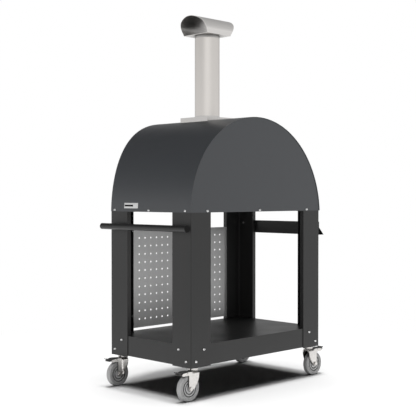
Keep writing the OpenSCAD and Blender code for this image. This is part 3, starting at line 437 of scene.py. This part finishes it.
def make_lamps(floor):
    """Suns draw the shadow on the floor, and lamps above and all round light the part."""
    suns = [make_sun(name, power, angle) for name, (power, angle) in FLOOR_SUNS.items()]
    light_only(suns, "lit_floor", [floor])
    lamps = [make_lamp("lamp_above", (0, 0, LAMP_HEIGHT), (0, 0, 0), ABOVE_LAMP_POWER)]
    for name, azimuth in SIDE_LAMP_AZIMUTHS.items():
        place = direction(azimuth, 0) * -SIDE_LAMP_REACH
        place.z = SIDE_LAMP_HEIGHT
        lamps.append(make_lamp(name, place, SIDE_LAMP_TARGET, SIDE_LAMP_POWER))
    light_only(lamps, "lit_part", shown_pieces())


# Materials

def new_material(name):
    """The empty node tree of a new material, which is kept by its slot's name."""
    materials[name] = bpy.data.materials.new(name)
    return Graph(materials[name])


def shade(colour, factor):
    """A colour made darker or lighter."""
    return tuple(c * factor for c in colour[:3]) + (1.0,)


def powder_coat(name, colour, roughness, gloss=USUAL_GLOSS):
    """Satin powder coat: an orange-peel bump and faint cloudy gloss."""
    graph = new_material(name)
    clouds = graph.noise(*PAINT_CLOUDS)
    speckle = graph.noise(*PAINT_SPECKLE)
    peel = graph.noise(*PAINT_PEEL)
    dark, light = [shade(colour, factor) for factor in PAINT_SHADES]
    graph.finish(
        Base_Color=graph.mottle(speckle, dark, light),
        Roughness=graph.fit(clouds, roughness - PAINT_SPREAD, roughness + PAINT_SPREAD),
        Specular_IOR_Level=gloss,
        Normal=graph.bump(peel, *PAINT_BUMP),
    )


def brushed_metal(name, colour, roughness, along, streaks=0.12, cap_shade=0.0):
    """Brushed sheet: long fine scratches along one axis, in colour, gloss and bump.

    Its last argument paints shade: how much darker it is where other surfaces close it in.
    """
    graph = new_material(name)
    stretch = [1.0 if axis == along else BRUSH_STRETCH for axis in "XYZ"]
    scratches = graph.noise(*BRUSH_SCRATCHES, stretch, BRUSH_ROUGHNESS)
    clouds = graph.noise(*BRUSH_CLOUDS)
    rough = graph.math("ADD", graph.fit(scratches, -BRUSH_SPREAD, BRUSH_SPREAD),
                       graph.fit(clouds, -BRUSH_CLOUD_SPREAD, BRUSH_CLOUD_SPREAD))
    base = graph.mottle(scratches, shade(colour, 1 - streaks), shade(colour, 1 + streaks / 2))
    # Painted shade, darker where other surfaces close the sheet in
    if cap_shade:
        base = graph.paint_closed_shade(base, cap_shade, CAP_SHADE_REACH, CAP_SHADE_FADE, CAP_SHADE_GREY)
    graph.finish(
        Base_Color=base,
        Metallic=1.0,
        Roughness=graph.math("ADD", rough, roughness),
        Anisotropic=BRUSH_PULL,
        Normal=graph.bump(scratches, *BRUSH_BUMP),
    )


def plated(name, colour, roughness):
    """Plated steel with faint cloudy gloss."""
    graph = new_material(name)
    clouds = graph.noise(*PLATED_CLOUDS)
    pits = graph.noise(*PLATED_PITS)
    smoother, rougher = PLATED_SPREAD
    graph.finish(
        Base_Color=graph.mottle(clouds, shade(colour, PLATED_SHADE), colour),
        Metallic=1.0,
        Roughness=graph.fit(clouds, roughness + smoother, roughness + rougher),
        Normal=graph.bump(pits, *PLATED_BUMP),
    )


def matte(name, colour, roughness, grain, depth, contrast=0.1, gloss=USUAL_GLOSS, groove_shade=0.0):
    """Moulded, fired or fibrous matter: a grain at one scale, in colour and bump.

    Its last argument paints shade: how much darker it is in grooves and where other surfaces close it in.
    """
    graph = new_material(name)
    cells = graph.noise(grain, MATTE_DETAIL)
    base = graph.mottle(cells, shade(colour, 1 - contrast), shade(colour, 1 + contrast))
    # Painted shade in grooves and where other surfaces close the part in
    if groove_shade:
        base = graph.paint_closed_shade(base, groove_shade, GROOVE_SHADE_REACH, GROOVE_SHADE_FADE, GROOVE_SHADE_GREY)
    graph.finish(
        Base_Color=base,
        Roughness=graph.fit(cells, roughness - MATTE_SPREAD, roughness + MATTE_SPREAD),
        Specular_IOR_Level=gloss,
        Normal=graph.bump(cells, depth, MATTE_BUMP_STRENGTH),
    )


def oiled_wood(name, dark, light):
    """Wood with grain along X."""
    graph = new_material(name)
    rings = graph.noise(*WOOD_RINGS)
    pores = graph.noise(*WOOD_PORES)
    figure = graph.math("ADD", graph.math("MULTIPLY", rings, WOOD_RING_SHARE),
                        graph.math("MULTIPLY", pores, 1 - WOOD_RING_SHARE))
    graph.finish(
        Base_Color=graph.blend(graph.fit(figure, 0.0, 1.0, *WOOD_SPAN), dark, light),
        Roughness=graph.fit(pores, *WOOD_ROUGHNESS),
        Normal=graph.bump(pores, *WOOD_BUMP),
    )


def make_materials():
    """Every finish: one for each slot, and the chimney cap's own, which has painted shade inside."""
    powder_coat("cart_paint", grey(0.011), roughness=0.36, gloss=0.38)
    powder_coat("hood_paint", (0.030, 0.032, 0.035, 1.0), roughness=0.34, gloss=0.45)
    powder_coat("pedal_black", grey(0.035), roughness=0.42)
    brushed_metal("panel_steel", grey(0.45), roughness=0.45, along="Z", streaks=0.2)
    brushed_metal("stainless", grey(0.63, warm=0.026), roughness=0.32, along="X")
    brushed_metal("pipe_steel", grey(0.70, warm=0.045), roughness=0.34, along="Z", streaks=0.06)
    # The chimney cap's steel, with painted shade inside it
    brushed_metal("shaded_cap_steel", grey(0.70, warm=0.026), roughness=0.38, along="X", streaks=0.06,
                  cap_shade=0.9)
    plated("zinc", grey(1.0), roughness=0.16)
    plated("badge_chrome", grey(0.66), roughness=0.12)
    plated("caster_steel", grey(0.62, warm=0.03), roughness=0.22)
    matte("plug_plastic", grey(0.004), roughness=0.7, grain=600.0, depth=0.00005, gloss=0.12)
    # Tyre and hub, with painted shade in their grooves and next to the fork
    matte("tyre_grey", grey(0.27), roughness=0.6, grain=500.0, depth=0.00008, contrast=0.06,
          groove_shade=0.85)
    matte("hub_grey", grey(0.33), roughness=0.45, grain=400.0, depth=0.00005, contrast=0.08,
          groove_shade=0.85)
    matte("fibre", (0.62, 0.59, 0.50, 1.0), roughness=0.9, grain=160.0, depth=0.0008,
          contrast=0.18)
    matte("firebrick", (0.46, 0.34, 0.23, 1.0), roughness=0.85, grain=220.0, depth=0.0006,
          contrast=0.22)
    oiled_wood("grip_wood", dark=(0.05, 0.025, 0.012, 1.0), light=(0.17, 0.09, 0.045, 1.0))


def dress_nodes():
    """Gives every CAD node its slot's material, or its own finish."""
    slots = {part["node"]: part["material_slot"] for part in frame["record"]["subparts"]}
    for name, node in frame["nodes"].items():
        node.data.materials.clear()
        node.data.materials.append(materials[OTHER_FINISH.get(name, slots[name])])


# Mesh building

def rounded(corners, steps=ARC_STEPS):
    """Outline from corners (x, y, radius), each rounded by an arc of that radius."""
    points = []
    for index, (x, y, radius) in enumerate(corners):
        here = Vector((x, y))
        if radius == 0:
            points.append(here)
            continue
        before = (Vector(corners[index - 1][:2]) - here).normalized()
        after = (Vector(corners[(index + 1) % len(corners)][:2]) - here).normalized()
        half = before.angle(after) / 2
        centre = here + (before + after).normalized() * radius / math.sin(half)
        reach = radius / math.tan(half)
        start, end = here + before * reach - centre, here + after * reach - centre
        turn = start.angle_signed(end)
        for step in range(steps + 1):
            angle = math.atan2(start.y, start.x) - turn * step / steps
            points.append(centre + radius * Vector((math.cos(angle), math.sin(angle))))
    return points


def arc(centre, radius, start, end, steps):
    """Points along an arc, with its angles in degrees."""
    angles = [math.radians(start + (end - start) * step / steps) for step in range(steps + 1)]
    return [Vector(centre) + radius * Vector((math.cos(a), math.sin(a))) for a in angles]


def within(point, outline):
    """Whether a point lies inside an outline."""
    hits = 0
    for a, b in zip(outline, outline[1:] + outline[:1]):
        if (a.y > point.y) != (b.y > point.y):
            hits += point.x < a.x + (b.x - a.x) * (point.y - a.y) / (b.y - a.y)
    return hits % 2 == 1


def clear_of(point, others, gap):
    """Whether a point lies further than a gap from all others."""
    return min((point - other).length for other in others) > gap


def extent(points):
    """Lowest and highest corner of a box round points."""
    return [Vector([pick(p[k] for p in points) for k in range(3)]) for pick in (min, max)]


def round_edges(piece, width):
    """Rounds a piece's sharp edges by a width in metres."""
    bevel = piece.modifiers.new("round_edges", "BEVEL")
    bevel.width = width
    bevel.segments = BEVEL_SEGMENTS
    bevel.limit_method = "ANGLE"
    bevel.angle_limit = math.radians(BEVEL_ANGLE)
    bevel.harden_normals = True


class Solid:
    """A mesh in the making, in millimetres, that becomes one piece of the scene."""

    def __init__(self):
        self.mesh = bmesh.new()

    def loops(self, rings, closed=True):
        """Skins rings of points, each joined to the next, and the last to the first if closed."""
        rows = [[self.mesh.verts.new(point) for point in ring] for ring in rings]
        pairs = zip(rows, rows[1:] + rows[:1]) if closed else zip(rows, rows[1:])
        for first, second in pairs:
            for index in range(len(first)):
                after = (index + 1) % len(first)
                self.mesh.faces.new((first[index], first[after], second[after], second[index]))
        return rows

    def lathe(self, section, axis="Z", middle=(0, 0, 0), steps=RING_STEPS):
        """Turns a closed section of (radius, height) points about an axis, Z or Y."""
        rings = []
        for step in range(steps):
            angle = 2 * math.pi * step / steps
            cos, sin = math.cos(angle), math.sin(angle)
            if axis == "Z":
                ring = [(r * cos, r * sin, h) for r, h in section]
            else:
                ring = [(r * cos, h, r * sin) for r, h in section]
            rings.append([Vector(middle) + Vector(point) for point in ring])
        self.loops(rings)

    def slab(self, outline, low, high):
        """Extrudes an outline in x and z from y = low to y = high."""
        rows = self.loops([[(x, y, z) for x, z in outline] for y in (low, high)], closed=False)
        for row in rows:
            self.mesh.faces.new(row)

    def plate(self, outline, extra, outer, inner, step):
        """A formed plate with this outline in x and z, between the surfaces y = outer and inner.

        The extra points give its surfaces detail where a grid of this step is too coarse.
        """
        xs, zs = [p.x for p in outline], [p.y for p in outline]
        inside = [p for p in extra if within(p, outline) and clear_of(p, outline, RIM_GAP)]
        taken = outline + inside
        for i in range(int((max(xs) - min(xs)) / step)):
            for j in range(int((max(zs) - min(zs)) / step)):
                point = Vector((min(xs) + (i + 0.5) * step, min(zs) + (j + 0.5) * step))
                if within(point, outline) and clear_of(point, taken, step * GRID_SHARE):
                    inside.append(point)
        rim = len(outline)
        edges = [(k, (k + 1) % rim) for k in range(rim)]
        inside_only = 1
        points, _, faces, *_ = delaunay_2d_cdt(outline + inside, edges, [], inside_only,
                                               SAME_POINT)
        rows = []
        for side in (outer, inner):
            rows.append([self.mesh.verts.new((p.x, side(p.x, p.y), p.y)) for p in points])
            for face in faces:
                self.mesh.faces.new([rows[-1][k] for k in face])
        for first, second in edges:
            self.mesh.faces.new((rows[0][first], rows[0][second], rows[1][second],
                                 rows[1][first]))

    def finish(self, name, body, material, nodes, place=None, bevel=0.0):
        """Makes the piece: metres, outward faces, smooth shading up to a crease angle."""
        bmesh.ops.remove_doubles(self.mesh, verts=self.mesh.verts, dist=WELD)
        bmesh.ops.recalc_face_normals(self.mesh, faces=self.mesh.faces)
        self.mesh.transform((place or Matrix()) @ Matrix.Scale(MM, 4))
        data = bpy.data.meshes.new(name)
        self.mesh.to_mesh(data)
        self.mesh.free()
        data.materials.append(materials[material])
        data.shade_smooth()
        data.set_sharp_from_angle(angle=math.radians(CREASE))
        piece = bpy.data.objects.new(name, data)
        bpy.context.scene.collection.objects.link(piece)
        if bevel:
            round_edges(piece, bevel)
        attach(piece, body)
        if nodes:
            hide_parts(*nodes)
        return piece


# Casters

def mirrored(section):
    """Closed section from half of one, given from its inner edge outwards."""
    return section + [(r, -h, rounding) for r, h, rounding in reversed(section)]


def caster_place(corner):
    """Matrix from a caster's own lengths to the frame's."""
    swivel = Vector(joints["swivel_" + corner]["pos_m"])
    trail = Vector(joints["wheel_" + corner]["pos_m"]) - swivel
    trail.z = 0
    trail.normalize()
    side = Vector((0, 0, 1)).cross(trail)
    return Matrix(((trail.x, side.x, 0, swivel.x), (trail.y, side.y, 0, swivel.y), (0, 0, 1, 0),
                   (0, 0, 0, 1)))


def front_arc():
    """Centre of the curve at a fork leg's front, and the angles at which it starts and ends."""
    cheek = Vector((-FORK_FRONT, CHEEK_Z))
    heel = arc(WHEEL, FOOT_R, HEEL_TURN, HEEL_TURN, 1)[0]
    chord = heel - cheek
    across = Vector((-chord.y, chord.x)).normalized()
    centre = (cheek + heel) / 2 + across * math.sqrt(LEG_BULGE_R ** 2 - (chord.length / 2) ** 2)
    spokes = [cheek - centre, heel - centre]
    return centre, [math.degrees(math.atan2(spoke.y, spoke.x)) % 360 for spoke in spokes]


def fork_outline():
    """Side of a fork leg in x and z: crown, curved front edge, foot, notch and wing."""
    centre, turns = front_arc()
    notch = (LEG_BACK + NOTCH_R, WING_LOW - NOTCH_R)
    points = [Vector((x, FORK_TOP)) for x in CROWN_XS]
    points += arc(centre, LEG_BULGE_R, *turns, LEG_BULGE_STEPS)
    points += arc(WHEEL, FOOT_R, *FOOT_TURNS, FOOT_STEPS)
    points += [Vector((LEG_BACK, WHEEL[1] + rise)) for rise in LEG_RISES]
    points += [Vector((LEG_BACK, notch[1]))]
    points += arc(notch, NOTCH_R, *NOTCH_TURNS, ARC_STEPS)
    points += [Vector((WING_FLAT_END, WING_LOW))]
    points += arc(WING_TIP, WING_TIP_R, -90, 90, WING_TIP_STEPS)
    points += [Vector(point) for point in WING_TOP]
    return points


def ease(value, low, high):
    """0 below low, 1 above high and a smooth rise between them."""
    t = min(max((value - low) / (high - low), 0.0), 1.0)
    return t * t * (3 - 2 * t)


def bend(radius, inset):
    """How far a quarter round of a radius falls away at an inset from where it starts."""
    return radius - math.sqrt(radius ** 2 - inset ** 2)


def curl_points():
    """Points of a fork leg along its front edge, close together where it curls."""
    centre, (start, end) = front_arc()
    points = []
    for inset in CURL_INSETS:
        points += [Vector((inset - FORK_FRONT, FORK_TOP - depth)) for depth in CURL_DEPTHS]
        points += arc(centre, LEG_BULGE_R - inset, start - CURL_LEAD, end, CURL_STEPS)
    return points


def fork_bow(x, z):
    """How far a fork leg stands out: a pressed step, a curled front edge and a rolled top."""
    shift = STEP_SHIFT * ease(z, *STEP_SHIFT_ENDS)
    step = STEP_HIGH * (1 - ease(x - shift, *STEP_RISE))
    step *= ease(z, *STEP_LOW_END) * (1 - ease(z, *STEP_HIGH_END))
    centre = front_arc()[0]
    inset = x + FORK_FRONT if z > centre.y else LEG_BULGE_R - (Vector((x, z)) - centre).length
    curl = bend(CURL_R, CURL_R - min(max(inset, 0.0), CURL_R)) * ease(z, *CURL_END)
    roll = bend(ROLL_R, max(z - (FORK_TOP - ROLL_R), 0.0))
    return step - curl - roll * (1 - ease(x, *ROLL_END))


def make_fork(corner, place):
    """A swivelling fork with its race and its pedal pin, and the seal ring under the head."""
    solid = Solid()
    outline = fork_outline()
    pin_place = (PEDAL[0], 0, PEDAL[1])
    for sign in (-1, 1):
        solid.plate(outline, curl_points(), lambda x, z: sign * (FORK_OUT + fork_bow(x, z)),
                    lambda x, z: sign * (FORK_IN + fork_bow(x, z)), PLATE_STEP)
        rivet = [(r, sign * (FORK_OUT + h)) for r, h in rounded(RIVET)]
        solid.lathe(rivet, "Y", pin_place, PIN_STEPS)
    crown = [(-FORK_FRONT, CROWN_LOW, CROWN_ROUND_LOW), (HEAD_R, CROWN_LOW, CROWN_ROUND_LOW),
             (HEAD_R, FORK_TOP, CROWN_ROUND_HIGH), (-FORK_FRONT, FORK_TOP, CROWN_ROUND_HIGH)]
    solid.slab(rounded(crown), -FORK_OUT + ROLL_R, FORK_OUT - ROLL_R)
    solid.lathe(rounded(RACE_SECTION))
    pin = [(0.0, -FORK_OUT), (PIN_R, -FORK_OUT), (PIN_R, FORK_OUT), (0.0, FORK_OUT)]
    solid.lathe(pin, "Y", pin_place, PIN_STEPS)
    solid.finish("fork_sheet_" + corner, "swivel_" + corner, "caster_steel", ["fork_" + corner],
                 place)
    seal = Solid()
    seal.lathe(rounded(SEAL_SECTION))
    # The seal takes the hub's grey, with its painted shade where other surfaces close it in
    seal.finish("swivel_seal_" + corner, "swivel_" + corner, "hub_grey", [], place)


def make_wheel(corner, place):
    """A tyre and its hub, with rings and grooves in their sides."""
    middle = (WHEEL[0], 0, WHEEL[1])
    tyre, hub = Solid(), Solid()
    tyre.lathe(rounded(mirrored(TYRE_SECTION)), "Y", middle, TYRE_STEPS)
    hub.lathe(rounded(mirrored(HUB_SECTION)), "Y", middle, HUB_STEPS)
    tyre.finish("tyre_rubber_" + corner, "wheel_" + corner, "tyre_grey", ["tyre_" + corner],
                place)
    hub.finish("hub_disc_" + corner, "wheel_" + corner, "hub_grey", ["hub_" + corner], place)


def make_pedal(corner, place):
    """A brake pedal: its arm on an eye round the pin, its shoe, a split curled tip and ribs."""
    solid = Solid()
    shift = Vector(PEDAL)

    def bar(outline, half):
        solid.slab([point + shift for point in rounded(outline)], -half, half)

    bar(PEDAL_ARM, PEDAL_HALF)
    bar(PEDAL_SHOE, SHOE_HALF)
    for outline in PEDAL_PRONGS:
        bar(outline, PEDAL_TIP_HALF)
    curl = (PEDAL[0] + PEDAL_CURL_AT[0], 0, PEDAL[1] + PEDAL_CURL_AT[1])
    solid.lathe(rounded(PEDAL_CURL), "Y", curl, PEDAL_STEPS)
    solid.lathe(PEDAL_EYE, "Y", (PEDAL[0], 0, PEDAL[1]), PEDAL_STEPS)
    for x in RIB_XS:
        bar([(x - RIB_HALF, RIB_LOW, 0.0), (x - RIB_HALF, RIB_HIGH, RIB_ROUND),
             (x + RIB_HALF, RIB_HIGH, RIB_ROUND), (x + RIB_HALF, RIB_LOW, 0.0)], RIB_SPAN_HALF)
    solid.finish("brake_lever_" + corner, "pedal_" + corner, "pedal_black",
                 ["brake_pedal_" + corner], place, bevel=PEDAL_BEVEL)


def make_casters():
    """Every caster's pieces, and rounded edges on those that stay as the CAD has them."""
    for corner in CORNERS:
        place = caster_place(corner)
        make_fork(corner, place)
        make_wheel(corner, place)
        make_pedal(corner, place)
        for name, width in NODE_BEVELS.items():
            round_edges(frame["nodes"][name + corner], width)


# Fittings

def islands(node):
    """The points of each connected patch of a node's mesh, which has several for each solid."""
    mesh = bmesh.new()
    mesh.from_mesh(node.data)
    met = set()
    found = []
    for start in mesh.verts:
        if start in met:
            continue
        met.add(start)
        open_ends, points = [start], []
        while open_ends:
            vert = open_ends.pop()
            points.append(vert.co / MM)
            for edge in vert.link_edges:
                other = edge.other_vert(vert)
                if other not in met:
                    met.add(other)
                    open_ends.append(other)
        found.append(points)
    mesh.free()
    return found


def flange_rings(points):
    """Rings of a thin flange round one patch of a button screw, along the axis it seems to have."""
    low, high = extent(points)
    size, middle = high - low, (low + high) / 2
    along = max((0, 1), key=lambda k: abs(size[k] - size.z))
    across = 1 - along
    rim = max(points, key=lambda p: math.hypot(p.z - middle.z, p[across] - middle[across]))
    outward = 1 if high[along] - rim[along] < rim[along] - low[along] else -1
    axis = Vector([outward * (k == along) for k in range(3)])
    turn = Vector((0, 0, 1)).rotation_difference(axis)
    middle[along] = rim[along]
    section = rounded(FLANGE_SECTION, FLANGE_ARC_STEPS)
    rings = []
    for step in range(FLANGE_STEPS):
        angle = 2 * math.pi * step / FLANGE_STEPS
        cos, sin = math.cos(angle), math.sin(angle)
        rings.append([middle + turn @ Vector((r * cos, r * sin, h)) for r, h in section])
    return rings


def make_flanges():
    """A thin flange round each patch of the button screws.

    Known fault: one round each head was meant, but a screw has 11 patches and gets 11 flanges.
    """
    for name in FLANGED_SCREWS:
        solid = Solid()
        for points in islands(frame["nodes"][name]):
            solid.loops(flange_rings(points))
        solid.finish(name + "_flanges", "cart", "zinc", [])


def make_badge_inlay():
    """A dark inlay, without any sign on it, in the sunk field of the bare plate."""
    plate = frame["nodes"]["badge_plate"]
    low, high = extent([vert.co / MM for vert in plate.data.vertices])
    face = high.x - INLAY_SINK
    back = face - INLAY_THICK
    bottom, top = low.z + INLAY_UP, low.z + INLAY_UP + INLAY_HIGH
    start = low.y + INLAY_IN
    solid = Solid()
    outline = [(back, bottom), (face, bottom), (face, top), (back, top)]
    solid.slab(rounded([corner + (INLAY_ROUND,) for corner in outline]), start,
               start + INLAY_LONG)
    solid.finish("badge_inlay", "cart", "plug_plastic", [])


make_camera()
make_world()
floor = make_floor()
make_materials()
dress_nodes()
make_casters()
make_flanges()
make_badge_inlay()
make_lamps(floor)

bpy.context.scene.view_settings.view_transform = "Standard"
